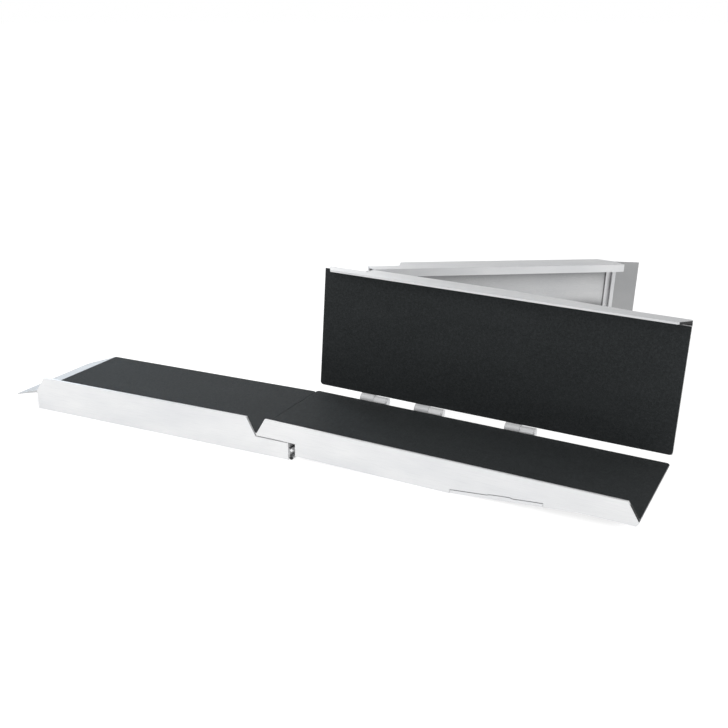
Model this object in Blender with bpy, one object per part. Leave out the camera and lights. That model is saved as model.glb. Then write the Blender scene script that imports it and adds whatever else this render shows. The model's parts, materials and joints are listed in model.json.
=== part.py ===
"""Portable wheelchair ramp: two hinged halves, each of an upper and a lower panel.

Every panel is drawn in one flat layout, where the treads lie in the plane z = 0:
  x  along the ramp, 0 at the seam between upper (-x) and lower (+x) panels,
  t  across the ramp, 0 at a half's inner edge, growing towards its outer side rail,
  w  height above the tread.
The near half lies at y = -t and the far half at y = HINGE_GAP + t. Each panel then hangs on an
empty that sits on its joint axis, and those empties fold the ramp into its rest pose.
"""
import math

import bmesh
import bpy
from mathutils import Matrix, Vector

# ---------------------------------------------------------------- driving dimensions (metres, degrees)
HALF_WIDTH = 0.381
UPPER_LENGTH = 0.812
LOWER_LENGTH = 1.110
HINGE_GAP = 0.030
FIT_GAP = 0.0003
SEAM_GAP = 0.001

KERB_HEIGHT = 0.047
KERB_SLANT = 0.036
NOSE_SLANT = 0.032
NOSE_FOOT = 0.002
NOSE_ROUND = 0.006
UPPER_KERB_END = -0.015
UPPER_NOTCH_FOOT = 0.014
LOWER_KERB_START = 0.044
LOWER_NOTCH_FOOT = 0.016
TONGUE_CLEARANCE = 0.0005
WEB = 0.006
UPPER_DEPTH = 0.061
LOWER_DEPTH = 0.0455
TIP_DEPTH = 0.0145
FLANGE_WIDTH = 0.025
FLANGE = 0.004
INNER_WEB = 0.004
INNER_FLANGE = 0.020

TREAD = 0.001
DECK_TOP = -TREAD - FIT_GAP
DECK = 0.0032
DECK_BOTTOM = DECK_TOP - DECK
UNDER_DECK = DECK_BOTTOM - FIT_GAP
TREAD_MARGIN = 0.017
CORNER = 0.010
LIP_CORNER = 0.004
TREAD_INSET = 0.0015
TAB_LENGTH = 0.022
LOWER_TAB = 0.052
RIB_T = HALF_WIDTH - TREAD_MARGIN + 0.002
RIB_WIDTH = 0.0018

CROSS_X = 0.1304
CROSS_W = 0.007 - UPPER_DEPTH
CROSS_RADIUS = 0.006
CROSS_PIN = 0.003
TONGUE_END = 0.1222
TONGUE_TOP = -0.0085
TONGUE_FALL = 0.001
LOWER_RAIL_START = 0.1435
KINK_X = 0.607
TAPER_END_X = 0.957

LONG_Y = HINGE_GAP / 2
LONG_W = 0.001
LONG_RADIUS = 0.0135
LONG_PIN = 0.0055
LONG_HINGES_X = (0.198, 0.383, 0.674)
PIN_CLEARANCE = 0.00008

LIP_REACH = 0.088
LIP_DROP = 0.025
LIP_CHAMFER = 0.045
LIP_STRIP = 0.032
LIP_STRIP_BOTTOM = -0.0085
LIP_EDGE = 0.0016
LIP_HEEL = 0.004

END_DEPTH = 0.010
END_FOOT = 0.014
END_WALL = 0.003
NOSE_LENGTH = 0.050
PAD_TOP = 0.0006
CAP = 0.0015

RECESS_START = KINK_X + 0.008
RECESS_END = RECESS_START + 0.254
RECESS_DEPTH = 0.012
HUMP = 0.0025
HUMP_START = RECESS_START + 0.111
HUMP_END = HUMP_START + 0.054
HUMP_RAMP = 0.008
HANDLE_LEGS_X = (RECESS_START + 0.034, RECESS_END - 0.034)
HANDLE_LEG = 0.003
HANDLE_TRAVEL = 0.045

KINK_RISE = UPPER_DEPTH - LOWER_DEPTH
LOWER_DIP = math.degrees(math.asin(KINK_RISE / (KINK_X - CROSS_X)))
FAR_LEAN = 85.84
FAR_FOLD = 131.0

# ---------------------------------------------------------------- materials
FINISHES = {
    "aluminium": ((0.80, 0.81, 0.82), 0.38, 0.9),
    "grit": ((0.035, 0.040, 0.041), 0.92, 0.0),
    "zinc_steel": ((0.62, 0.63, 0.63), 0.42, 0.8),
    "dark_steel": ((0.13, 0.13, 0.14), 0.50, 0.6),
    "black_rubber": ((0.05, 0.05, 0.05), 0.75, 0.0),
    "black_plastic": ((0.05, 0.05, 0.05), 0.55, 0.0),
}


def make_material(node, finish):
    """One Principled material per sub-part."""
    colour, roughness, metallic = FINISHES[finish]
    material = bpy.data.materials.new(node)
    material.use_nodes = True
    shader = material.node_tree.nodes["Principled BSDF"]
    shader.inputs["Base Color"].default_value = (*colour, 1.0)
    shader.inputs["Roughness"].default_value = roughness
    shader.inputs["Metallic"].default_value = metallic
    return material


# ---------------------------------------------------------------- halves and panels
def near(t):
    """World y of a point t in from the near half's inner edge."""
    return -t


def far(t):
    """World y of a point t in from the far half's inner edge."""
    return HINGE_GAP + t


def empty(name, parent, place, axis=None, degrees=0.0):
    """An empty on a joint axis; place is in the flat layout, relative to the parent's own place."""
    pivot = bpy.data.objects.new(name, None)
    bpy.context.collection.objects.link(pivot)
    pivot["layout"] = place
    offset = Vector(place)
    if parent is not None:
        offset = offset - Vector(parent["layout"])
    pivot.parent = parent
    pivot.location = offset
    if axis is not None:
        index = "xyz".index(axis)
        pivot.rotation_euler[index] = math.radians(degrees)
    return pivot


def make_pivots():
    """The joint tree; the origin lies under the flange of the near upper panel's inner rail."""
    ground = empty("ramp", None, (0.0, 0.0, 0.0))
    ground.location = (0.0, INNER_FLANGE / 2, UPPER_DEPTH)
    cross_near = (CROSS_X, near(HALF_WIDTH / 2), CROSS_W)
    cross_far = (CROSS_X, far(HALF_WIDTH / 2), CROSS_W)
    near_lower = empty("near_lower", ground, cross_near, "y", LOWER_DIP)
    near_upper = empty("near_upper", near_lower, cross_near, "y", -LOWER_DIP)
    far_lower = empty("far_lower", near_lower, (LOWER_LENGTH / 2, LONG_Y, LONG_W), "x", FAR_LEAN)
    far_upper = empty("far_upper", far_lower, cross_far, "y", -FAR_FOLD)
    return {"ramp": ground, "near_lower": near_lower, "near_upper": near_upper,
            "far_lower": far_lower, "far_upper": far_upper}


# ---------------------------------------------------------------- mesh helpers
def link(name, mesh, pivot, finish, smooth=False):
    """Put a mesh, drawn in the flat layout, on its panel's pivot with its origin at its own centre."""
    low = Vector([min(v.co[i] for v in mesh.vertices) for i in range(3)])
    high = Vector([max(v.co[i] for v in mesh.vertices) for i in range(3)])
    centre = (low + high) / 2
    mesh.transform(Matrix.Translation(-centre))
    piece = bpy.data.objects.new(name, mesh)
    bpy.context.collection.objects.link(piece)
    piece.parent = pivot
    piece.location = centre - Vector(pivot["layout"])
    mesh.materials.append(make_material(name, finish))
    if smooth:
        mesh.shade_smooth()
        mesh.set_sharp_from_angle(angle=math.radians(35))
    return piece


def loft(name, first, second):
    """A closed solid between two outlines that have the same number of points."""
    bm = bmesh.new()
    low = [bm.verts.new(p) for p in first]
    high = [bm.verts.new(p) for p in second]
    bm.faces.new(low)
    bm.faces.new(list(reversed(high)))
    count = len(low)
    for i in range(count):
        j = (i + 1) % count
        bm.faces.new((low[i], high[i], high[j], low[j]))
    bmesh.ops.recalc_face_normals(bm, faces=bm.faces)
    mesh = bpy.data.meshes.new(name)
    bm.to_mesh(mesh)
    bm.free()
    return mesh


def side_plate(name, outline, side, t0, t1):
    """An (x, w) outline extruded across the ramp from t0 to t1."""
    first = [(x, side(t0), w) for x, w in outline]
    second = [(x, side(t1), w) for x, w in outline]
    return loft(name, first, second)


def run(name, outline, side, x0, x1):
    """A (t, w) section run along the ramp from x0 to x1."""
    first = [(x0, side(t), w) for t, w in outline]
    second = [(x1, side(t), w) for t, w in outline]
    return loft(name, first, second)


def plan(name, outline, side, w0, w1):
    """An (x, t) plan outline raised from w0 to w1."""
    first = [(x, side(t), w0) for x, t in outline]
    second = [(x, side(t), w1) for x, t in outline]
    return loft(name, first, second)


def box(name, side, x0, x1, t0, t1, w0, w1):
    return run(name, [(t0, w0), (t1, w0), (t1, w1), (t0, w1)], side, x0, x1)


def arc(cx, cy, radius, start, end, steps):
    """Points on a circle, from start to end in degrees."""
    points = []
    for i in range(steps + 1):
        a = math.radians(start + (end - start) * i / steps)
        points.append((cx + radius * math.cos(a), cy + radius * math.sin(a)))
    return points


def rod(name, along, centre, radius, start, end, sides=24):
    """A round bar along axis x or y; centre is (y, z) or (x, z)."""
    ring = arc(centre[0], centre[1], radius, 0, 360 - 360 / sides, sides - 1)
    if along == "x":
        return loft(name, [(start, a, b) for a, b in ring], [(end, a, b) for a, b in ring])
    return loft(name, [(a, start, b) for a, b in ring], [(a, end, b) for a, b in ring])


def combine(piece, meshes, operation, pivot):
    """Boolean the piece with tool meshes, which are kept hidden beside it."""
    for number, mesh in enumerate(meshes):
        tool = bpy.data.objects.new(f"{piece.name}_tool_{operation.lower()}_{number}", mesh)
        bpy.context.collection.objects.link(tool)
        tool.parent = pivot
        tool.location = -Vector(pivot["layout"])
        tool.hide_render = True
        tool.display_type = "WIRE"
        modifier = piece.modifiers.new(f"{operation.lower()}_{number}", "BOOLEAN")
        modifier.operation = operation
        modifier.solver = "EXACT"
        modifier.object = tool


# ---------------------------------------------------------------- decks and treads
def rounded_plan(x0, x1, t0, t1, first_radius, last_radius):
    """A rectangle with its two inner-edge corners rounded."""
    inner = arc(x0 + first_radius, t0 + first_radius, first_radius, 180, 270, 4)
    inner += arc(x1 - last_radius, t0 + last_radius, last_radius, 270, 360, 4)
    return inner + [(x1, t1), (x0, t1)]


def make_deck(name, side, pivot, x0, x1, radii, rib_x):
    """Deck sheet with a fine upstanding rib just outside the tread, between the kerb's two cut-aways."""
    outer = HALF_WIDTH - WEB - FIT_GAP
    outline = rounded_plan(x0, x1, 0, outer, *radii)
    piece = link(name, plan(name, outline, side, DECK_BOTTOM, DECK_TOP), pivot, "aluminium")
    rib = box(f"{name}_rib", side, *rib_x, RIB_T, RIB_T + RIB_WIDTH, DECK_TOP - 0.001, 0.0008)
    combine(piece, [rib], "UNION", pivot)


def make_tread(name, side, pivot, outline):
    """Thin grit sheet bonded on the deck."""
    link(name, plan(name, outline, side, -TREAD, 0.0), pivot, "grit")


def upper_tread_outline():
    """Tread of an upper panel, with a tab out to the side rail under the V between the kerbs."""
    x0 = -UPPER_LENGTH + TREAD_INSET
    x1 = -SEAM_GAP - TREAD_INSET
    edge = HALF_WIDTH - TREAD_MARGIN
    outer = HALF_WIDTH - WEB - FIT_GAP
    corners = rounded_plan(x0, x1, TREAD_INSET, outer, LIP_CORNER - TREAD_INSET, CORNER - TREAD_INSET)
    return corners[:-1] + [(-TAB_LENGTH, outer), (-TAB_LENGTH, edge), (x0, edge)]


def lower_tread_outline():
    """Tread of a lower panel, with the same tab at its seam end."""
    x0 = SEAM_GAP + TREAD_INSET
    x1 = LOWER_LENGTH - TREAD_INSET
    edge = HALF_WIDTH - TREAD_MARGIN
    outer = HALF_WIDTH - WEB - FIT_GAP
    corners = rounded_plan(x0, x1, TREAD_INSET, outer, CORNER - TREAD_INSET, CORNER - TREAD_INSET)
    return corners[:-2] + [(x1, edge), (LOWER_TAB, edge), (LOWER_TAB, outer), (x0, outer)]


# ---------------------------------------------------------------- rails and ribs
def taper(x):
    """Height of the lower panel's bottom edge."""
    if x <= KINK_X:
        return -LOWER_DEPTH
    if x >= TAPER_END_X:
        return -TIP_DEPTH
    share = (x - KINK_X) / (TAPER_END_X - KINK_X)
    return -LOWER_DEPTH + share * (LOWER_DEPTH - TIP_DEPTH)


def handle_top_line(x0, x1, drop):
    """The recess's upper edge, parallel to the taper, with a low hump where the fingers go."""
    line = [(x0, 0.0), (HUMP_START - HUMP_RAMP, 0.0), (HUMP_START, HUMP), (HUMP_END, HUMP),
            (HUMP_END + HUMP_RAMP, 0.0), (x1, 0.0)]
    return [(x, taper(x) + RECESS_DEPTH - drop + rise) for x, rise in line]


def upper_side_rail(name, side, pivot):
    """Kerb, web and tongue cut from one plate, with a bottom flange turned in."""
    outline = [
        (-UPPER_LENGTH, -UPPER_DEPTH), (TONGUE_END, -UPPER_DEPTH), (TONGUE_END, TONGUE_TOP - TONGUE_FALL),
        (UPPER_NOTCH_FOOT, TONGUE_TOP), (UPPER_KERB_END, KERB_HEIGHT),
        (-UPPER_LENGTH + KERB_SLANT, KERB_HEIGHT), (-UPPER_LENGTH, 0.0),
    ]
    piece = link(name, side_plate(name, outline, side, HALF_WIDTH - WEB, HALF_WIDTH), pivot, "aluminium")
    flange = box(f"{name}_flange", side, -UPPER_LENGTH, TONGUE_END, HALF_WIDTH - FLANGE_WIDTH,
                 HALF_WIDTH - WEB / 2, -UPPER_DEPTH, -UPPER_DEPTH + FLANGE)
    combine(piece, [flange], "UNION", pivot)


def lower_side_rail(name, side, pivot):
    """Kerb and web with the tongue's cut-away, the handle recess and the taper to the ground end."""
    outline = [
        (LOWER_NOTCH_FOOT, -NOSE_FOOT), (LOWER_NOTCH_FOOT - SEAM_GAP, TONGUE_TOP + TONGUE_CLEARANCE),
        (LOWER_RAIL_START, TONGUE_TOP + TONGUE_CLEARANCE),
        (LOWER_RAIL_START, -LOWER_DEPTH), (KINK_X, -LOWER_DEPTH),
        (RECESS_START, taper(RECESS_START)), *handle_top_line(RECESS_START, RECESS_END, 0.0),
        (RECESS_END, taper(RECESS_END)), (TAPER_END_X, -TIP_DEPTH),
        (LOWER_LENGTH - NOSE_ROUND, -TIP_DEPTH), (LOWER_LENGTH, -NOSE_ROUND),
        (LOWER_LENGTH - NOSE_FOOT, 0.0), (LOWER_LENGTH - NOSE_SLANT, KERB_HEIGHT),
        (LOWER_KERB_START, KERB_HEIGHT),
    ]
    piece = link(name, side_plate(name, outline, side, HALF_WIDTH - WEB, HALF_WIDTH), pivot, "aluminium")
    flange = box(f"{name}_flange", side, LOWER_RAIL_START, KINK_X - 0.002, HALF_WIDTH - FLANGE_WIDTH,
                 HALF_WIDTH - WEB / 2, -LOWER_DEPTH, -LOWER_DEPTH + FLANGE)
    combine(piece, [flange], "UNION", pivot)


def upper_inner_rail(name, side, pivot):
    """Channel under the inner edge; it runs on as the second tongue."""
    outline = [
        (-UPPER_LENGTH, -UPPER_DEPTH), (TONGUE_END, -UPPER_DEPTH), (TONGUE_END, TONGUE_TOP - TONGUE_FALL),
        (-SEAM_GAP, TONGUE_TOP), (-SEAM_GAP, UNDER_DECK), (-UPPER_LENGTH, UNDER_DECK),
    ]
    piece = link(name, side_plate(name, outline, side, 0.0, INNER_WEB), pivot, "aluminium")
    flange = box(f"{name}_flange", side, -UPPER_LENGTH, TONGUE_END, INNER_WEB / 2, INNER_FLANGE,
                 -UPPER_DEPTH, -UPPER_DEPTH + FLANGE)
    combine(piece, [flange], "UNION", pivot)


def lower_inner_rail(name, side, pivot):
    """Channel under the inner edge, tapered like the side rail."""
    end = LOWER_LENGTH - NOSE_LENGTH - SEAM_GAP
    outline = [
        (LOWER_RAIL_START, -LOWER_DEPTH), (KINK_X, -LOWER_DEPTH), (TAPER_END_X, -TIP_DEPTH),
        (end, -TIP_DEPTH), (end, UNDER_DECK), (LOWER_RAIL_START, UNDER_DECK),
    ]
    piece = link(name, side_plate(name, outline, side, 0.0, INNER_WEB), pivot, "aluminium")
    flange = box(f"{name}_flange", side, LOWER_RAIL_START, KINK_X - 0.002, INNER_WEB / 2, INNER_FLANGE,
                 -LOWER_DEPTH, -LOWER_DEPTH + FLANGE)
    combine(piece, [flange], "UNION", pivot)


RIBS_T = (0.100, 0.215)
RIB = 0.004


def upper_ribs(prefix, side, pivot):
    bottom = CROSS_W + 0.008
    for number, t in enumerate(RIBS_T, 1):
        name = f"{prefix}_rib_{number}"
        start = -UPPER_LENGTH + LIP_STRIP + FIT_GAP
        outline = [(start, bottom + 0.012), (start + 0.024, bottom), (-0.020, bottom),
                   (-0.004, bottom + 0.012), (-0.004, UNDER_DECK), (start, UNDER_DECK)]
        link(name, side_plate(name, outline, side, t, t + RIB), pivot, "aluminium")


def lower_ribs(prefix, side, pivot):
    start = CROSS_X + 0.0245
    end = LOWER_LENGTH - NOSE_LENGTH - SEAM_GAP
    clear = 0.004
    for number, t in enumerate(RIBS_T, 1):
        name = f"{prefix}_rib_{number}"
        outline = [(start, -LOWER_DEPTH + clear), (KINK_X, -LOWER_DEPTH + clear),
                   (TAPER_END_X - 0.045, -TIP_DEPTH + 0.002), (end, -TIP_DEPTH + 0.002),
                   (end, UNDER_DECK), (start, UNDER_DECK)]
        link(name, side_plate(name, outline, side, t, t + RIB), pivot, "aluminium")


# ---------------------------------------------------------------- panel ends
def make_end_channel(name, side, pivot):
    """Shallow angle across the upper panel's top end, under the lip's strip."""
    x0 = -UPPER_LENGTH
    top = LIP_STRIP_BOTTOM - FIT_GAP
    bottom = top - END_DEPTH
    outline = [(x0, bottom), (x0 + END_FOOT, bottom), (x0 + END_FOOT, bottom + END_WALL),
               (x0 + END_WALL, bottom + END_WALL), (x0 + END_WALL, top), (x0, top)]
    link(name, side_plate(name, outline, side, INNER_WEB + FIT_GAP, HALF_WIDTH - WEB - FIT_GAP),
         pivot, "aluminium")


def make_lip(name, side, pivot):
    """Bevelled approach plate with its inner corner cut off and a strip tucked under the deck."""
    root = -UPPER_LENGTH - FIT_GAP
    tip = -UPPER_LENGTH - LIP_REACH
    heel = root - LIP_HEEL
    outline = [(root, -0.0008), (tip, -LIP_DROP), (tip + LIP_EDGE, -LIP_DROP - LIP_EDGE),
               (heel, LIP_STRIP_BOTTOM), (root, LIP_STRIP_BOTTOM)]
    wedge = side_plate(name, outline, side, FIT_GAP, HALF_WIDTH - FIT_GAP)
    piece = link(name, wedge, pivot, "aluminium")
    strip = box(f"{name}_strip", side, heel, -UPPER_LENGTH + LIP_STRIP, FLANGE_WIDTH,
                HALF_WIDTH - FLANGE_WIDTH, LIP_STRIP_BOTTOM, UNDER_DECK)
    combine(piece, [strip], "UNION", pivot)
    beyond = tip - 0.010
    slope = LIP_CHAMFER / (heel - tip)
    corner = [(heel, 0.0), (heel, -0.010), (beyond, -0.010), (beyond, (heel - beyond) * slope)]
    combine(piece, [plan(f"{name}_corner", corner, side, -0.03, 0.01)], "DIFFERENCE", pivot)


def make_nose(name, side, pivot):
    """Bar under the ground end of the deck, rounded off where it meets the ground."""
    x0 = LOWER_LENGTH - NOSE_LENGTH
    x1 = LOWER_LENGTH - SEAM_GAP
    outline = [(x0, UNDER_DECK), (x0 + 0.006, -TIP_DEPTH), (x1 - 0.008, -TIP_DEPTH),
               (x1 - 0.003, -TIP_DEPTH + 0.0022), (x1, UNDER_DECK)]
    link(name, side_plate(name, outline, side, FIT_GAP, HALF_WIDTH - WEB - FIT_GAP), pivot, "aluminium")


def make_insert(name, side, pivot):
    """Dark pad beside the tread at the ground end, with a cap up the kerb's slanted end."""
    t0 = RIB_T + RIB_WIDTH + FIT_GAP
    t1 = HALF_WIDTH - WEB - FIT_GAP
    end = LOWER_LENGTH - FIT_GAP
    pad = box(name, side, LOWER_LENGTH - 0.060, end, t0, t1, DECK_TOP + FIT_GAP, PAD_TOP)
    piece = link(name, pad, pivot, "black_rubber")
    rise = Vector((NOSE_FOOT - NOSE_SLANT, KERB_HEIGHT)).normalized()
    out = Vector((rise.y, -rise.x))
    foot = Vector((LOWER_LENGTH - NOSE_FOOT, 0.0))
    top = foot + rise * (KERB_HEIGHT - 0.001)
    bottom = DECK_TOP + 2 * FIT_GAP
    inner = FIT_GAP
    outer = FIT_GAP + CAP
    corners = [foot + out * inner, top + out * inner, top + out * outer, foot + out * outer]
    outline = [tuple(corner) for corner in corners]
    outline += [(end - FIT_GAP, bottom), (end - 0.0011, bottom)]
    cap = side_plate(f"{name}_cap", outline, side, t1 - SEAM_GAP, HALF_WIDTH - FIT_GAP)
    combine(piece, [cap], "UNION", pivot)


BEAM_WALL = 0.003


def channel_section(x0, x1, w0, w1, wall, opening):
    """(x, w) outline of a channel that opens towards +x or -x."""
    if opening > 0:
        return [(x0, w0), (x1, w0), (x1, w0 + wall), (x0 + wall, w0 + wall),
                (x0 + wall, w1 - wall), (x1, w1 - wall), (x1, w1), (x0, w1)]
    return [(x1, w0), (x0, w0), (x0, w0 + wall), (x1 - wall, w0 + wall),
            (x1 - wall, w1 - wall), (x0, w1 - wall), (x0, w1), (x1, w1)]


def make_tongue_beam(name, side, pivot):
    """Cross channel between the two tongues; the hinge leaf bolts to its web."""
    outline = channel_section(CROSS_X - 0.026, CROSS_X - 0.008, CROSS_W + 0.006, TONGUE_TOP - 0.002,
                              BEAM_WALL, -1)
    link(name, side_plate(name, outline, side, INNER_WEB + FIT_GAP, HALF_WIDTH - WEB - FIT_GAP),
         pivot, "aluminium")


def make_hinge_beam(name, side, pivot):
    """Cross channel of the lower panel, facing the tongue beam across the hinge."""
    outline = channel_section(CROSS_X + 0.008, CROSS_X + 0.024, -LOWER_DEPTH + 0.001, UNDER_DECK,
                              BEAM_WALL, 1)
    link(name, side_plate(name, outline, side, INNER_FLANGE + FIT_GAP,
                          HALF_WIDTH - FLANGE_WIDTH - FIT_GAP), pivot, "aluminium")


# ---------------------------------------------------------------- cross hinges
CROSS_T0 = 0.006
CROSS_T1 = 0.3785
CROSS_KNUCKLES = 7
KNUCKLE_CLEARANCE = 0.0004
STOP_RADIUS = 0.00435


def cross_leaf_outline(direction):
    """(x, w) outline of leaf and barrel; direction -1 is the upper panel's side."""
    back = CROSS_X + direction * (0.008 - FIT_GAP)
    front = CROSS_X + direction * 0.0049
    top = CROSS_W + 0.028
    barrel = arc(0, 0, CROSS_RADIUS, 200, 500, 20)
    if direction < 0:
        ring = [(CROSS_X + a, CROSS_W + b) for a, b in barrel]
    else:
        ring = [(CROSS_X - a, CROSS_W + b) for a, b in barrel]
    return [(back, top), (back, CROSS_W - 0.0022)] + ring + [(front, CROSS_W + 0.0041), (front, top)]


def knuckle_span(index):
    pitch = (CROSS_T1 - CROSS_T0) / CROSS_KNUCKLES
    start = CROSS_T0 + index * pitch
    return start, start + pitch


def make_cross_leaf(name, side, pivot, direction):
    """Leaf with every second knuckle of the barrel, bored for the pin."""
    mine = 0 if direction < 0 else 1
    first = knuckle_span(mine)
    last = knuckle_span(CROSS_KNUCKLES - 1 - mine)
    leaf = side_plate(name, cross_leaf_outline(direction), side, first[0], last[1])
    piece = link(name, leaf, pivot, "zinc_steel", smooth=True)
    cutters = []
    for index in range(CROSS_KNUCKLES):
        if index % 2 == mine:
            continue
        start, end = knuckle_span(index)
        cutters.append(box(f"{name}_gap_{index}", side, CROSS_X - 0.009, CROSS_X + 0.009,
                           start - KNUCKLE_CLEARANCE, end + KNUCKLE_CLEARANCE,
                           CROSS_W - 0.008, CROSS_W + 0.0068))
    ends = sorted((side(CROSS_T0 - 0.01), side(CROSS_T1 + 0.01)))
    cutters.append(rod(f"{name}_bore", "y", (CROSS_X, CROSS_W), CROSS_PIN + PIN_CLEARANCE, *ends))
    combine(piece, cutters, "DIFFERENCE", pivot)


def make_cross_pin(name, side, pivot):
    """Long pin with a low round head at its outer end."""
    pin_ends = sorted((side(CROSS_T0 + 0.001), side(CROSS_T1 + 0.0005)))
    head_ends = sorted((side(CROSS_T1 + FIT_GAP), side(CROSS_T1 + 0.0022)))
    shaft = rod(name, "y", (CROSS_X, CROSS_W), CROSS_PIN, *pin_ends)
    piece = link(name, shaft, pivot, "dark_steel", smooth=True)
    head = rod(f"{name}_head", "y", (CROSS_X, CROSS_W), CROSS_RADIUS - 0.0008, *head_ends)
    combine(piece, [head], "UNION", pivot)


def make_stop_bar(name, side, pivot):
    """Bar on the lower leaf that the upper leaf meets when the half is straight."""
    centre = (CROSS_X + 0.00025, CROSS_W + 0.023)
    ends = sorted((side(CROSS_T0 + 0.002), side(CROSS_T1)))
    link(name, rod(name, "y", centre, STOP_RADIUS, *ends), pivot, "zinc_steel", smooth=True)


# ---------------------------------------------------------------- long lift-off hinges
LONG_KNUCKLE = 0.047
LONG_SHORT = 0.042
LONG_HEAD = 0.004


def long_leaf_outline(direction):
    """(y, w) outline of a barrel with its weld leaf; direction -1 is the near half's side."""
    barrel = arc(0, 0, LONG_RADIUS, 215, 508, 20)
    edge = LONG_Y - FIT_GAP
    corner = [(-edge, 0.0015), (-edge, -0.031), (-edge + 0.004, -0.031), (-edge + 0.004, -0.009)]
    shape = corner + barrel
    return [(LONG_Y - direction * a, LONG_W + b) for a, b in shape]


def make_long_knuckle(name, pivot, direction, x0, x1):
    outline = long_leaf_outline(direction)
    mesh = loft(name, [(x0, a, b) for a, b in outline], [(x1, a, b) for a, b in outline])
    piece = link(name, mesh, pivot, "zinc_steel", smooth=True)
    bore = rod(f"{name}_bore", "x", (LONG_Y, LONG_W), LONG_PIN + PIN_CLEARANCE, x0 - 0.01, x1 + 0.01)
    combine(piece, [bore], "DIFFERENCE", pivot)


def make_long_hinges(pivots):
    """Each hinge: far knuckle, near knuckle, and a headed pin that stays with the near half."""
    for number, centre in enumerate(LONG_HINGES_X, 1):
        split = centre
        make_long_knuckle(f"far_knuckle_{number}", pivots["far_lower"], 1, split - LONG_KNUCKLE,
                          split - 0.0005)
        make_long_knuckle(f"near_knuckle_{number}", pivots["near_lower"], -1, split + 0.0005,
                          split + LONG_SHORT)
        name = f"long_pin_{number}"
        shaft = rod(name, "x", (LONG_Y, LONG_W), LONG_PIN, split - LONG_KNUCKLE + 0.002,
                    split + LONG_SHORT + 0.001)
        piece = link(name, shaft, pivots["near_lower"], "zinc_steel", smooth=True)
        head = rod(f"{name}_head", "x", (LONG_Y, LONG_W), LONG_RADIUS, split + LONG_SHORT + FIT_GAP,
                   split + LONG_SHORT + LONG_HEAD)
        combine(piece, [head], "UNION", pivots["near_lower"])


# ---------------------------------------------------------------- pull-out carry handles
HANDLE_T0 = HALF_WIDTH - 0.009
GUIDE_T0 = 0.330
GUIDE_T1 = 0.346
GUIDE_WALL = 0.0052
COLLAR = 0.004
HANDLE_PLAY = 0.0006
HANDLE_SLOT = 0.0022
GUIDE_LUG = 0.009
GUIDE_STRIP = 0.0024


def handle_leg_height(x):
    """Height of a leg's centre line above the treads' plane."""
    return taper(x) + 0.005


def make_handle(prefix, side, pivot):
    """Flat grip in the rail's recess, on two legs that slide in guides under the deck."""
    name = f"{prefix}_handle"
    x0 = RECESS_START + 0.001
    x1 = RECESS_END - 0.001
    top = handle_top_line(x0, x1, HANDLE_SLOT)
    outline = [(x1, taper(x1) + HANDLE_PLAY), (x0, taper(x0) + HANDLE_PLAY)] + top
    grip = side_plate(name, outline, side, HANDLE_T0, HALF_WIDTH)
    piece = link(name, grip, pivot, "aluminium", smooth=True)
    inner = GUIDE_T0 - HANDLE_TRAVEL - COLLAR
    parts = []
    for number, x in enumerate(HANDLE_LEGS_X):
        w = handle_leg_height(x)
        leg_ends = sorted((side(inner), side(HANDLE_T0 + 0.003)))
        collar_ends = sorted((side(inner - 0.0005), side(inner + COLLAR)))
        parts.append(rod(f"{name}_leg_{number}", "y", (x, w), HANDLE_LEG, *leg_ends, sides=16))
        parts.append(rod(f"{name}_collar_{number}", "y", (x, w), HANDLE_LEG + 0.003, *collar_ends, sides=16))
    combine(piece, parts, "UNION", pivot)


def make_guide(prefix, side, pivot):
    """Strip under the deck with two bored lugs that hold the handle's legs."""
    name = f"{prefix}_handle_guide"
    x0 = HANDLE_LEGS_X[0] - GUIDE_LUG
    x1 = HANDLE_LEGS_X[1] + GUIDE_LUG
    strip = box(name, side, x0, x1, GUIDE_T0, GUIDE_T1, UNDER_DECK - GUIDE_STRIP, UNDER_DECK)
    piece = link(name, strip, pivot, "black_plastic")
    lugs = []
    bores = []
    ends = sorted((side(GUIDE_T0 - 0.01), side(GUIDE_T1 + 0.01)))
    for number, x in enumerate(HANDLE_LEGS_X):
        w = handle_leg_height(x)
        lugs.append(box(f"{name}_lug_{number}", side, x - GUIDE_LUG, x + GUIDE_LUG, GUIDE_T0, GUIDE_T1,
                        w - GUIDE_WALL, UNDER_DECK - GUIDE_STRIP / 2))
        bores.append(rod(f"{name}_bore_{number}", "y", (x, w), HANDLE_LEG + PIN_CLEARANCE, *ends, sides=16))
    combine(piece, lugs, "UNION", pivot)
    combine(piece, bores, "DIFFERENCE", pivot)


# ---------------------------------------------------------------- panels
def make_upper_panel(prefix, side, pivot):
    rib_x = (-UPPER_LENGTH + 0.001, -TAB_LENGTH - 0.001)
    make_deck(f"{prefix}_deck", side, pivot, -UPPER_LENGTH, -SEAM_GAP, (LIP_CORNER, CORNER), rib_x)
    make_tread(f"{prefix}_tread", side, pivot, upper_tread_outline())
    upper_side_rail(f"{prefix}_side_rail", side, pivot)
    upper_inner_rail(f"{prefix}_inner_rail", side, pivot)
    upper_ribs(prefix, side, pivot)
    make_end_channel(f"{prefix}_end_channel", side, pivot)
    make_lip(f"{prefix}_lip", side, pivot)
    make_tongue_beam(f"{prefix}_tongue_beam", side, pivot)
    make_cross_leaf(f"{prefix}_cross_leaf", side, pivot, -1)


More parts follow.
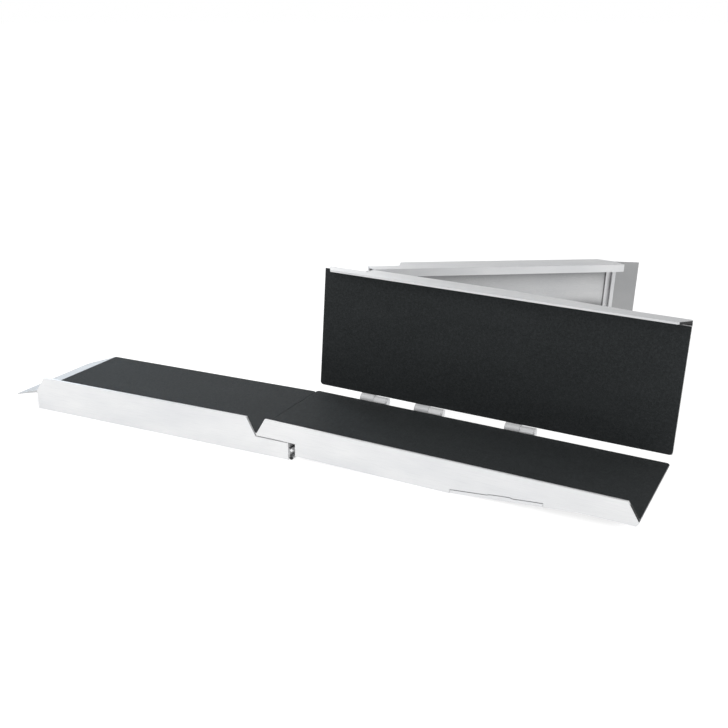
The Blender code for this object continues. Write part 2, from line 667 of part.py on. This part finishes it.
def make_lower_panel(prefix, side, pivot):
    rib_x = (LOWER_TAB + 0.001, LOWER_LENGTH - 0.001)
    make_deck(f"{prefix}_deck", side, pivot, SEAM_GAP, LOWER_LENGTH, (CORNER, CORNER), rib_x)
    make_tread(f"{prefix}_tread", side, pivot, lower_tread_outline())
    lower_side_rail(f"{prefix}_side_rail", side, pivot)
    lower_inner_rail(f"{prefix}_inner_rail", side, pivot)
    lower_ribs(prefix, side, pivot)
    make_hinge_beam(f"{prefix}_hinge_beam", side, pivot)
    make_cross_leaf(f"{prefix}_cross_leaf", side, pivot, 1)
    make_cross_pin(f"{prefix}_cross_pin", side, pivot)
    make_stop_bar(f"{prefix}_stop_bar", side, pivot)
    make_nose(f"{prefix}_nose", side, pivot)
    make_insert(f"{prefix}_kerb_insert", side, pivot)
    make_handle(prefix, side, pivot)
    make_guide(prefix, side, pivot)


def main():
    for leftover in list(bpy.data.objects):
        bpy.data.objects.remove(leftover, do_unlink=True)
    pivots = make_pivots()
    make_upper_panel("near_upper", near, pivots["near_upper"])
    make_lower_panel("near_lower", near, pivots["near_lower"])
    make_upper_panel("far_upper", far, pivots["far_upper"])
    make_lower_panel("far_lower", far, pivots["far_lower"])
    make_long_hinges(pivots)


main()
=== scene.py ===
"""Looks for the folding wheelchair ramp: metal, grit, weld beads, light and camera.

Each of the four panels has its own axes: x along the ramp, y across it and z out of the tread. They
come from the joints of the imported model, so everything added here lies square to its panel.
"""
import json
import math

import bmesh
import bpy
from mathutils import Matrix, Vector


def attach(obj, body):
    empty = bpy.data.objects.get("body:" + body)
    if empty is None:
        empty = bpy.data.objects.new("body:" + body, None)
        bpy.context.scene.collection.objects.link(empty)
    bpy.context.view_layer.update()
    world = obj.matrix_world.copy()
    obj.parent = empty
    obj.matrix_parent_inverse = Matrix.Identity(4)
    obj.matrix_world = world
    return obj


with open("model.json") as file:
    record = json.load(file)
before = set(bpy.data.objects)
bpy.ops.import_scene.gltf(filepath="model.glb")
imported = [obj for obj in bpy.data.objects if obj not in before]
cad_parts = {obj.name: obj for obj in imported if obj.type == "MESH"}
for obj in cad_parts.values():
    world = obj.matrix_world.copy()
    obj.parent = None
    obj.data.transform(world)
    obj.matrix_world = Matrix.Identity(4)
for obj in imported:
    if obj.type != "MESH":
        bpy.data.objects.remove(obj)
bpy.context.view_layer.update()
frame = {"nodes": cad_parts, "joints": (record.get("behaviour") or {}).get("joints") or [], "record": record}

JOINTS = {joint["name"]: joint for joint in frame["joints"]}


# ---------------------------------------------------------------- panel axes
def axes_matrix(x_axis, y_axis):
    """Rotation whose columns are the panel's x, y and z."""
    z_axis = x_axis.cross(y_axis)
    return Matrix((x_axis, y_axis, z_axis)).transposed()


def panel_axes():
    """The near upper panel lies square to the world; the joints' axes give the other three."""
    lower_x = Vector(JOINTS["long_hinge"]["axis"]).normalized()
    across = Vector((0, 1, 0))
    far_across = Vector(JOINTS["far_cross_hinge"]["axis"]).normalized()
    far_lower = axes_matrix(lower_x, far_across)
    fold = math.radians(JOINTS["far_cross_hinge"]["range_deg"][1])
    far_upper = Matrix.Rotation(-fold, 3, far_across) @ far_lower
    return {
        "near_upper": axes_matrix(Vector((1, 0, 0)), across),
        "near_lower": axes_matrix(lower_x, across),
        "far_lower": far_lower,
        "far_upper": far_upper,
    }


AXES = panel_axes()


def panel_of(node):
    """The panel that a node belongs to; the long hinges' pins are fixed to the near lower one."""
    for panel in AXES:
        if node.startswith(panel):
            return panel
    return "near_lower" if node.startswith(("near", "long")) else "far_lower"


def panel_points(node, panel):
    """A node's vertices in its panel's own axes."""
    turn = AXES[panel].transposed()
    return [turn @ vertex.co for vertex in frame["nodes"][node].data.vertices]


def panel_box(node, panel):
    """Lowest and highest corner of a node in its panel's own axes."""
    points = panel_points(node, panel)
    low = Vector([min(point[axis] for point in points) for axis in range(3)])
    high = Vector([max(point[axis] for point in points) for axis in range(3)])
    return low, high


# ---------------------------------------------------------------- material nodes
BEVEL_SAMPLES = 4
CORNER_SAMPLES = 8


class Shader:
    """A node material under construction, in one panel's own axes."""

    def __init__(self, name, panel):
        self.panel = panel
        self.material = bpy.data.materials.new(name)
        self.material.use_nodes = True
        self.tree = self.material.node_tree
        self.surface = self.tree.nodes["Principled BSDF"]
        place = self.tree.nodes.new("ShaderNodeTexCoord").outputs["Object"]
        turn = AXES[panel].transposed().to_euler()
        self.place = self.mapped(place, rotation=turn)

    def mapped(self, vector, rotation=(0, 0, 0), scale=(1, 1, 1)):
        """The vector turned and stretched."""
        node = self.tree.nodes.new("ShaderNodeMapping")
        node.inputs["Rotation"].default_value = rotation
        node.inputs["Scale"].default_value = scale
        self.tree.links.new(vector, node.inputs["Vector"])
        return node.outputs["Vector"]

    def noise(self, scale, stretch=(1, 1, 1), detail=3.0, roughness=0.55):
        """Noise of so many cells a metre, finer along the axes that stretch makes larger."""
        node = self.tree.nodes.new("ShaderNodeTexNoise")
        node.inputs["Scale"].default_value = scale
        node.inputs["Detail"].default_value = detail
        node.inputs["Roughness"].default_value = roughness
        self.tree.links.new(self.mapped(self.place, scale=stretch), node.inputs["Vector"])
        return node.outputs["Fac"]

    def grains(self, scale):
        """Distance from the middle of each grain, and a value of its own for each grain."""
        node = self.tree.nodes.new("ShaderNodeTexVoronoi")
        node.inputs["Scale"].default_value = scale
        self.tree.links.new(self.place, node.inputs["Vector"])
        return node.outputs["Distance"], node.outputs["Color"]

    def ramp(self, factor, low, high, first, last):
        """Blend from first to last as the factor goes from low to high."""
        node = self.tree.nodes.new("ShaderNodeValToRGB")
        node.color_ramp.elements[0].position = low
        node.color_ramp.elements[1].position = high
        node.color_ramp.elements[0].color = (*first, 1)
        node.color_ramp.elements[1].color = (*last, 1)
        self.tree.links.new(factor, node.inputs["Fac"])
        return node.outputs["Color"]

    def mask(self, factor, low, high, first, last):
        """A grey ramp, to mix two colours by."""
        return self.ramp(factor, low, high, (first, first, first), (last, last, last))

    def mix(self, factor, first, last):
        """Blend of two colours, each a plain colour or a node's output."""
        node = self.tree.nodes.new("ShaderNodeMix")
        node.data_type = "RGBA"
        self.tree.links.new(factor, node.inputs["Factor"])
        for socket, value in ((node.inputs[6], first), (node.inputs[7], last)):
            if isinstance(value, tuple):
                socket.default_value = (*value, 1)
            else:
                self.tree.links.new(value, socket)
        return node.outputs[2]

    def beyond(self, x):
        """1 where the panel's own x is past the given one, else 0."""
        parts = self.tree.nodes.new("ShaderNodeSeparateXYZ")
        self.tree.links.new(self.place, parts.inputs["Vector"])
        step = self.tree.nodes.new("ShaderNodeMath")
        step.operation = "GREATER_THAN"
        step.inputs[1].default_value = x
        self.tree.links.new(parts.outputs["X"], step.inputs[0])
        return step.outputs["Value"]

    def spread(self, factor, low, high):
        """The factor's 0 to 1 as low to high."""
        node = self.tree.nodes.new("ShaderNodeMapRange")
        node.inputs["To Min"].default_value = low
        node.inputs["To Max"].default_value = high
        self.tree.links.new(factor, node.inputs["Value"])
        return node.outputs["Result"]

    def bump(self, height, strength, distance, normal=None):
        """Normals of a fine relief, laid over other normals if given."""
        node = self.tree.nodes.new("ShaderNodeBump")
        node.inputs["Strength"].default_value = strength
        node.inputs["Distance"].default_value = distance
        self.tree.links.new(height, node.inputs["Height"])
        if normal is not None:
            self.tree.links.new(normal, node.inputs["Normal"])
        return node.outputs["Normal"]

    def rounded(self, radius):
        """Normals of softly rounded edges."""
        node = self.tree.nodes.new("ShaderNodeBevel")
        node.samples = BEVEL_SAMPLES
        node.inputs["Radius"].default_value = radius
        return node.outputs["Normal"]

    def corners(self, distance):
        """1 in the open, falling to 0 in a deep corner."""
        node = self.tree.nodes.new("ShaderNodeAmbientOcclusion")
        node.samples = CORNER_SAMPLES
        node.inputs["Distance"].default_value = distance
        return node.outputs["AO"]

    def to(self, socket, value):
        """Set one of the surface's own sockets to a number, or link it to a node's output."""
        if isinstance(value, (int, float)):
            self.surface.inputs[socket].default_value = value
        else:
            self.tree.links.new(value, self.surface.inputs[socket])


# ---------------------------------------------------------------- finishes
# Tints are multiplied by a finish's own brightness.
METAL_LIGHT = (1.0, 1.004, 1.008)
METAL_DULL = (0.90, 0.91, 0.925)
METAL_MARK = (0.80, 0.81, 0.83)
# Painted shade: the near-black tint that deep corners of the deck sheets are darkened towards.
METAL_PAINTED_SHADE = (0.06, 0.06, 0.065)
RAIL_BRIGHT = 0.86
SHEET_BRIGHT = 0.78
# Reach of the painted corner shade on the deck sheets, in metres.
SHEET_PAINTED_SHADE_REACH = 0.11
CAST_BRIGHT = 0.95
CHANNEL_BRIGHT = 0.80
ROLLED_BRUSH = (1.5, 60, 60)
CAST_BRUSH = (20, 20, 20)

LIP_REACH = 0.088
# Lit and shaded copies of one plate: the far panel's lower level is painted shade on its underside.
LIP_LEVEL_WITH_PAINTED_SHADE = {"near_upper": 0.60, "far_upper": 0.44}
LIP_STRIP = (0.80, 0.80, 0.81)

GRIT_DARK = 0.0112
GRIT_RESIN = (0.82, 1.02, 1.10)
GRIT_GRAIN = (2.1, 2.6, 2.8)
GRIT_POWDER = (2.8, 3.2, 3.4)

ZINC = (0.66, 0.665, 0.67)
BLACK_OXIDE = (0.030, 0.031, 0.033)
POLYMER_DARK = (0.016, 0.016, 0.017)
POLYMER_LIGHT = (0.034, 0.034, 0.036)


def tinted(level, tint):
    """Colour of a tint at a level of brightness."""
    return tuple(level * channel for channel in tint)


def dress_metal(shader, bright, metallic, brush=ROLLED_BRUSH, painted_shade_reach=None, strip_from=None):
    """Long rolling marks, faint clouding, a few scuffs, and painted shade in corners or a paler strip if
    asked.
    """
    marks = shader.noise(14, stretch=brush, detail=5)
    clouds = shader.noise(7, stretch=(0.6, 1.4, 1.4), detail=2)
    scuffs = shader.noise(45, stretch=(0.5, 4, 4), detail=6, roughness=0.7)
    line = tinted(bright, METAL_MARK)
    tone = shader.ramp(clouds, 0.35, 0.70, tinted(bright, METAL_DULL), tinted(bright, METAL_LIGHT))
    tone = shader.mix(shader.mask(marks, 0.52, 0.75, 0, 0.5), tone, line)
    tone = shader.mix(shader.mask(scuffs, 0.66, 0.80, 0, 0.4), tone, line)
    # Painted shade: darker where nearby parts close in, standing in for the shadow in the recess under the
    # rails.
    if painted_shade_reach is not None:
        corner_shade_mask = shader.mask(shader.corners(painted_shade_reach), 0.45, 0.90, 1, 0)
        tone = shader.mix(corner_shade_mask, tone, tinted(bright, METAL_PAINTED_SHADE))
    if strip_from is not None:
        tone = shader.mix(shader.beyond(strip_from), tone, LIP_STRIP)
    shader.to("Base Color", tone)
    shader.to("Metallic", metallic)
    shader.to("Roughness", shader.spread(marks, 0.36, 0.54))
    shader.to("Normal", shader.bump(marks, strength=0.25, distance=0.0002, normal=shader.rounded(0.0010)))


def rail_metal(shader):
    """Rails, cross beams, ground-end noses, handles and weld beads."""
    dress_metal(shader, RAIL_BRIGHT, metallic=0.50)


def sheet_metal(shader):
    """Deck sheets and ribs, with painted shade darkening their corners."""
    dress_metal(shader, SHEET_BRIGHT, metallic=0.50, painted_shade_reach=SHEET_PAINTED_SHADE_REACH)


def cast_metal(shader):
    """Knuckles, long pins and stop bars: pale, without rolling marks."""
    dress_metal(shader, CAST_BRIGHT, metallic=0.10, brush=CAST_BRUSH)


def channel_metal(shader):
    """The angle across the top end."""
    dress_metal(shader, CHANNEL_BRIGHT, metallic=0.30)


def lip_metal(shader):
    """Bevelled approach plate: duller where it is bent out, paler in the strip under the deck; the far
    panel's lip is painted darker as shade.
    """
    lip_start = panel_box(f"{shader.panel}_lip", shader.panel)[0].x
    dress_metal(shader, LIP_LEVEL_WITH_PAINTED_SHADE[shader.panel], metallic=0.45, strip_from=lip_start + LIP_REACH)


def grit(shader):
    """Mineral grains in black resin, a little dusty where wheels and feet pass."""
    depth, cell = shader.grains(620)
    fine = shader.noise(1500, detail=2)
    mottle = shader.noise(130, detail=4, roughness=0.7)
    dust = shader.noise(5, stretch=(0.5, 1.6, 1.6), detail=5, roughness=0.65)
    powder = tinted(GRIT_DARK, GRIT_POWDER)
    tone = shader.ramp(depth, 0.10, 0.60, tinted(GRIT_DARK, GRIT_GRAIN), tinted(GRIT_DARK, GRIT_RESIN))
    tone = shader.mix(shader.mask(fine, 0.60, 0.78, 0, 0.7), tone, powder)
    tone = shader.mix(shader.mask(mottle, 0.46, 0.64, 0, 0.45), tone, powder)
    tone = shader.mix(shader.mask(dust, 0.45, 0.80, 0, 0.35), tone, powder)
    relief = shader.bump(fine, strength=0.4, distance=0.0002)
    shader.to("Base Color", tone)
    shader.to("Roughness", shader.spread(cell, 0.62, 0.86))
    shader.to("Specular IOR Level", 0.4)
    shader.to("Normal", shader.bump(depth, strength=0.9, distance=-0.0006, normal=relief))


def dress_steel(shader, base, metallic):
    """Slightly cloudy plating with small worn specks."""
    clouds = shader.noise(90, detail=4)
    specks = shader.noise(420, detail=3)
    worn = tuple(min(1.0, channel * 1.25 + 0.02) for channel in base)
    tone = shader.ramp(clouds, 0.35, 0.72, tinted(0.78, base), base)
    tone = shader.mix(shader.mask(specks, 0.62, 0.78, 0, 0.6), tone, worn)
    shader.to("Base Color", tone)
    shader.to("Metallic", metallic)
    shader.to("Roughness", shader.spread(clouds, 0.30, 0.46))
    shader.to("Normal", shader.bump(specks, strength=0.2, distance=0.0001, normal=shader.rounded(0.0006)))


def zinc_steel(shader):
    """Zinc-plated cross-hinge leaves and guide screws."""
    dress_steel(shader, ZINC, metallic=0.85)


def dark_steel(shader):
    """Black-oxide cross pins."""
    dress_steel(shader, BLACK_OXIDE, metallic=0.5)


def polymer(shader):
    """Black rubber or nylon with a fine moulded grain."""
    grain = shader.noise(900, detail=3)
    patches = shader.noise(60, detail=3)
    shader.to("Base Color", shader.ramp(patches, 0.3, 0.8, POLYMER_DARK, POLYMER_LIGHT))
    shader.to("Roughness", shader.spread(grain, 0.50, 0.72))
    shader.to("Normal", shader.bump(grain, strength=0.35, distance=0.0002, normal=shader.rounded(0.0006)))


DRESSERS = {
    "aluminium": rail_metal,
    "plate": lip_metal,
    "sheet": sheet_metal,
    "cast": cast_metal,
    "channel": channel_metal,
    "grit": grit,
    "zinc_steel": zinc_steel,
    "dark_steel": dark_steel,
    "black_rubber": polymer,
    "black_plastic": polymer,
}


def finish_of(node, slot):
    """Pieces that look different from the extruded rails have a finish of their own."""
    if node.endswith("_lip"):
        return "plate"
    if node.endswith(("_deck", "_rib_1", "_rib_2")):
        return "sheet"
    if node.endswith("_end_channel"):
        return "channel"
    if node.startswith("long_pin") or "knuckle" in node or node.endswith("stop_bar"):
        return "cast"
    return slot


def dress_nodes():
    """Give every CAD node its material, made once for each finish and panel."""
    slots = {entry["node"]: entry["material_slot"] for entry in frame["record"]["subparts"]}
    made = {}
    for node, piece in frame["nodes"].items():
        panel = panel_of(node)
        finish = finish_of(node, slots[node])
        key = (finish, panel)
        if key not in made:
            shader = Shader(f"{finish}_{panel}", panel)
            DRESSERS[finish](shader)
            made[key] = shader.material
        if not piece.material_slots:
            piece.data.materials.append(made[key])
        for material_slot in piece.material_slots:
            material_slot.material = made[key]
    return made


MATERIALS = dress_nodes()


# ---------------------------------------------------------------- stitch welds and screws
WELD_LENGTH = 0.036
WELD_STEP = 0.120
WELD_MARGINS = (0.020, 0.010)
WELD_RADIUS = 0.0024
WELD_TIP_RADIUS = 0.0003
WELD_SINK = 0.0006
WELD_TAPER = 8
WELD_RIPPLE = 0.0024
RIPPLE_DEPTH = 0.16
RIPPLE_RINGS = 4
ARC_STEPS = 4

HEAD_RADIUS = 0.0042
HEAD_HEIGHT = 0.0018
SOCKET_RADIUS = 0.0021
HEAD_SIDES = 24
SCREW_SHARES = (0.26, 0.50, 0.74)
GUIDE_STRIP = 0.0026
SMOOTH_ANGLE = math.radians(40)


def join_rings(bm, rings):
    """Close a tube of rings, with a face across each end."""
    count = len(rings[0])
    for first, second in zip(rings, rings[1:]):
        for step in range(count):
            after = (step + 1) % count
            bm.faces.new((first[step], first[after], second[after], second[step]))
    bm.faces.new(rings[0])
    bm.faces.new(list(reversed(rings[-1])))


def add_bead(bm, start, length, out):
    """A rippled fillet along x in the corner between a rib's side and the deck above it."""
    rings = []
    count = round(length / WELD_RIPPLE * RIPPLE_RINGS)
    for index in range(count + 1):
        share = index / count
        ends = min(1.0, WELD_TAPER * share, WELD_TAPER * (1 - share)) ** 0.5
        ripple = 1 + RIPPLE_DEPTH * math.cos(2 * math.pi * index / RIPPLE_RINGS)
        radius = max(WELD_RADIUS * ends * ripple, WELD_TIP_RADIUS)
        centre = start + Vector((share * length, 0, 0))
        ring = []
        for step in range(ARC_STEPS + 1):
            angle = math.radians(90 * step / ARC_STEPS)
            offset = Vector((0, out * radius * math.cos(angle), -radius * math.sin(angle)))
            ring.append(bm.verts.new(centre + offset))
        ring.append(bm.verts.new(centre + Vector((0, -out * WELD_SINK, 0))))
        rings.append(ring)
    join_rings(bm, rings)


def hexagon_reach(radius, angle):
    """Distance from the middle to a hexagon's side, for a hexagon with corners at the radius."""
    sixth = math.pi / 3
    return radius * math.cos(sixth / 2) / math.cos((angle % sixth) - sixth / 2)


def add_screw(bm, centre):
    """Low domed head pointing down, with a hexagon socket; depths are shares of the head's height."""
    dome = [(HEAD_RADIUS, 0.0), (HEAD_RADIUS, 0.35), (0.86 * HEAD_RADIUS, 0.75), (0.62 * HEAD_RADIUS, 1.0)]
    socket = [(SOCKET_RADIUS, 1.0), (SOCKET_RADIUS, 0.35)]
    profile = [(*point, False) for point in dome] + [(*point, True) for point in socket]
    rings = []
    for radius, depth, is_hexagon in profile:
        ring = []
        for step in range(HEAD_SIDES):
            angle = 2 * math.pi * step / HEAD_SIDES
            reach = hexagon_reach(radius, angle) if is_hexagon else radius
            place = Vector((reach * math.cos(angle), reach * math.sin(angle), -depth * HEAD_HEIGHT))
            ring.append(bm.verts.new(centre + place))
        rings.append(ring)
    join_rings(bm, rings)


def place_piece(name, bm, panel, slot):
    """Turn a mesh drawn in a panel's axes into the world and let it ride on that panel."""
    bmesh.ops.recalc_face_normals(bm, faces=bm.faces)
    mesh = bpy.data.meshes.new(name)
    bm.to_mesh(mesh)
    bm.free()
    mesh.transform(AXES[panel].to_4x4())
    mesh.shade_smooth()
    mesh.set_sharp_from_angle(angle=SMOOTH_ANGLE)
    piece = bpy.data.objects.new(name, mesh)
    bpy.context.collection.objects.link(piece)
    mesh.materials.append(MATERIALS[(slot, panel)])
    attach(piece, panel)


def make_rib_welds(panel):
    """Stitch welds on both sides of each rib, staggered from side to side."""
    bm = bmesh.new()
    for number in (1, 2):
        low, high = panel_box(f"{panel}_rib_{number}", panel)
        for out, side, stagger in ((-1, low.y, 0.0), (1, high.y, 0.5 * WELD_STEP)):
            x = low.x + WELD_MARGINS[0] + stagger
            while x + WELD_LENGTH < high.x - WELD_MARGINS[1]:
                add_bead(bm, Vector((x, side, high.z)), WELD_LENGTH, out)
                x += WELD_STEP
    place_piece(f"{panel}_rib_welds", bm, panel, "aluminium")


def make_guide_screws(panel):
    """Screws through the handle guide's strip into the deck."""
    low, high = panel_box(f"{panel}_handle_guide", panel)
    deck_underside = panel_box(f"{panel}_deck", panel)[0].z
    bm = bmesh.new()
    for share in SCREW_SHARES:
        x = low.x + share * (high.x - low.x)
        add_screw(bm, Vector((x, (low.y + high.y) / 2, deck_underside - GUIDE_STRIP)))
    place_piece(f"{panel}_guide_screws", bm, panel, "zinc_steel")


for each_panel in AXES:
    make_rib_welds(each_panel)
for each_panel in ("near_lower", "far_lower"):
    make_guide_screws(each_panel)


# ---------------------------------------------------------------- stage and light
FLOOR_SIZE = 300
FLOOR_DROP = 0.0005
FLOOR_TONE = (0.40, 0.40, 0.40)
FLOOR_GLOW = 0.80
WHITE = (1.0, 1.0, 1.0)

# Brightness of the sky at heights from 0, the horizon, to 1, straight up.
SKY = ((0.08, 1.0), (0.18, 0.24), (0.40, 0.16), (0.90, 1.0))

# Name, place, target, diameter, watts and colour of each lamp.
LAMPS = (
    ("key", (-0.7, -3.0, 2.7), (0.1, 0.0, 0.1), 1.5, 24, WHITE),
    ("top", (-0.9, 0.3, 2.4), (0.3, 0.1, 0.2), 1.6, 10, WHITE),
    ("back_left", (-4.2, 2.6, 1.9), (-0.4, -0.2, 0.0), 1.6, 30, (0.74, 0.87, 1.0)),
    ("back", (-2.5, 4.4, 2.1), (0.0, 0.1, 0.4), 1.5, 14, WHITE),
)


def make_floor():
    """Plain pale floor just under the ramp, with a glow of its own so that it stays white."""
    mesh = bpy.data.meshes.new("floor")
    bm = bmesh.new()
    bmesh.ops.create_grid(bm, x_segments=2, y_segments=2, size=FLOOR_SIZE)
    bm.to_mesh(mesh)
    bm.free()
    floor = bpy.data.objects.new("floor", mesh)
    floor.location.z = -FLOOR_DROP
    bpy.context.collection.objects.link(floor)
    material = bpy.data.materials.new("floor")
    material.use_nodes = True
    surface = material.node_tree.nodes["Principled BSDF"]
    surface.inputs["Base Color"].default_value = (*FLOOR_TONE, 1)
    surface.inputs["Roughness"].default_value = 0.95
    surface.inputs["Specular IOR Level"].default_value = 0.1
    surface.inputs["Emission Color"].default_value = (*WHITE, 1)
    surface.inputs["Emission Strength"].default_value = FLOOR_GLOW
    mesh.materials.append(material)


def make_sky():
    """World light that is white at the horizon and overhead, and dimmer between them."""
    world = bpy.data.worlds.new("studio")
    bpy.context.scene.world = world
    world.use_nodes = True
    nodes = world.node_tree.nodes
    links = world.node_tree.links
    direction = nodes.new("ShaderNodeTexCoord").outputs["Generated"]
    parts = nodes.new("ShaderNodeSeparateXYZ")
    links.new(direction, parts.inputs["Vector"])
    sky = nodes.new("ShaderNodeValToRGB")
    stops = sky.color_ramp.elements  # a new ramp has two stops
    for index, (height, light) in enumerate(SKY):
        stop = stops[index] if index < 2 else stops.new(height)
        stop.position = height
        stop.color = (light, light, light, 1)
    links.new(parts.outputs["Z"], sky.inputs["Fac"])
    links.new(sky.outputs["Color"], nodes["Background"].inputs["Color"])
    nodes["Background"].inputs["Strength"].default_value = 1.0


def make_lamp(name, place, target, diameter, watts, colour):
    """Round area light aimed at its target."""
    data = bpy.data.lights.new(name, "AREA")
    data.shape = "DISK"
    data.size = diameter
    data.energy = watts
    data.color = colour
    lamp = bpy.data.objects.new(name, data)
    lamp.location = place
    lamp.rotation_euler = (Vector(target) - Vector(place)).to_track_quat("-Z", "Y").to_euler()
    bpy.context.collection.objects.link(lamp)


# ---------------------------------------------------------------- camera
# Turned about the vertical from looking along +y, then tilted down; degrees, metres and millimetres.
CAMERA_TURN = 26.05
CAMERA_TILT = 19.995
CAMERA_ROLL = 0.092
CAMERA_PLACE = (1.5110, -2.5982, 1.1724)
CAMERA_SENSOR = 36.0
CAMERA_LENS = 49.74725
CAMERA_SHIFT = (-0.0267857, 0.0303571)
CAMERA_FAR = 800


def make_camera():
    """Camera in front of the ramp and to its right, looking down, with a small shift."""
    data = bpy.data.cameras.new("camera")
    data.sensor_width = CAMERA_SENSOR
    data.lens = CAMERA_LENS
    data.shift_x, data.shift_y = CAMERA_SHIFT
    data.clip_end = CAMERA_FAR
    camera = bpy.data.objects.new("camera", data)
    tilt = Matrix.Rotation(math.radians(90 - CAMERA_TILT), 4, "X")
    turn = Matrix.Rotation(math.radians(CAMERA_TURN), 4, "Z")
    roll = Matrix.Rotation(math.radians(-CAMERA_ROLL), 4, "Z")
    camera.matrix_world = Matrix.Translation(CAMERA_PLACE) @ turn @ tilt @ roll
    bpy.context.collection.objects.link(camera)
    bpy.context.scene.camera = camera


make_floor()
make_sky()
for lamp_settings in LAMPS:
    make_lamp(*lamp_settings)
bpy.context.scene.view_settings.view_transform = "Standard"
make_camera()
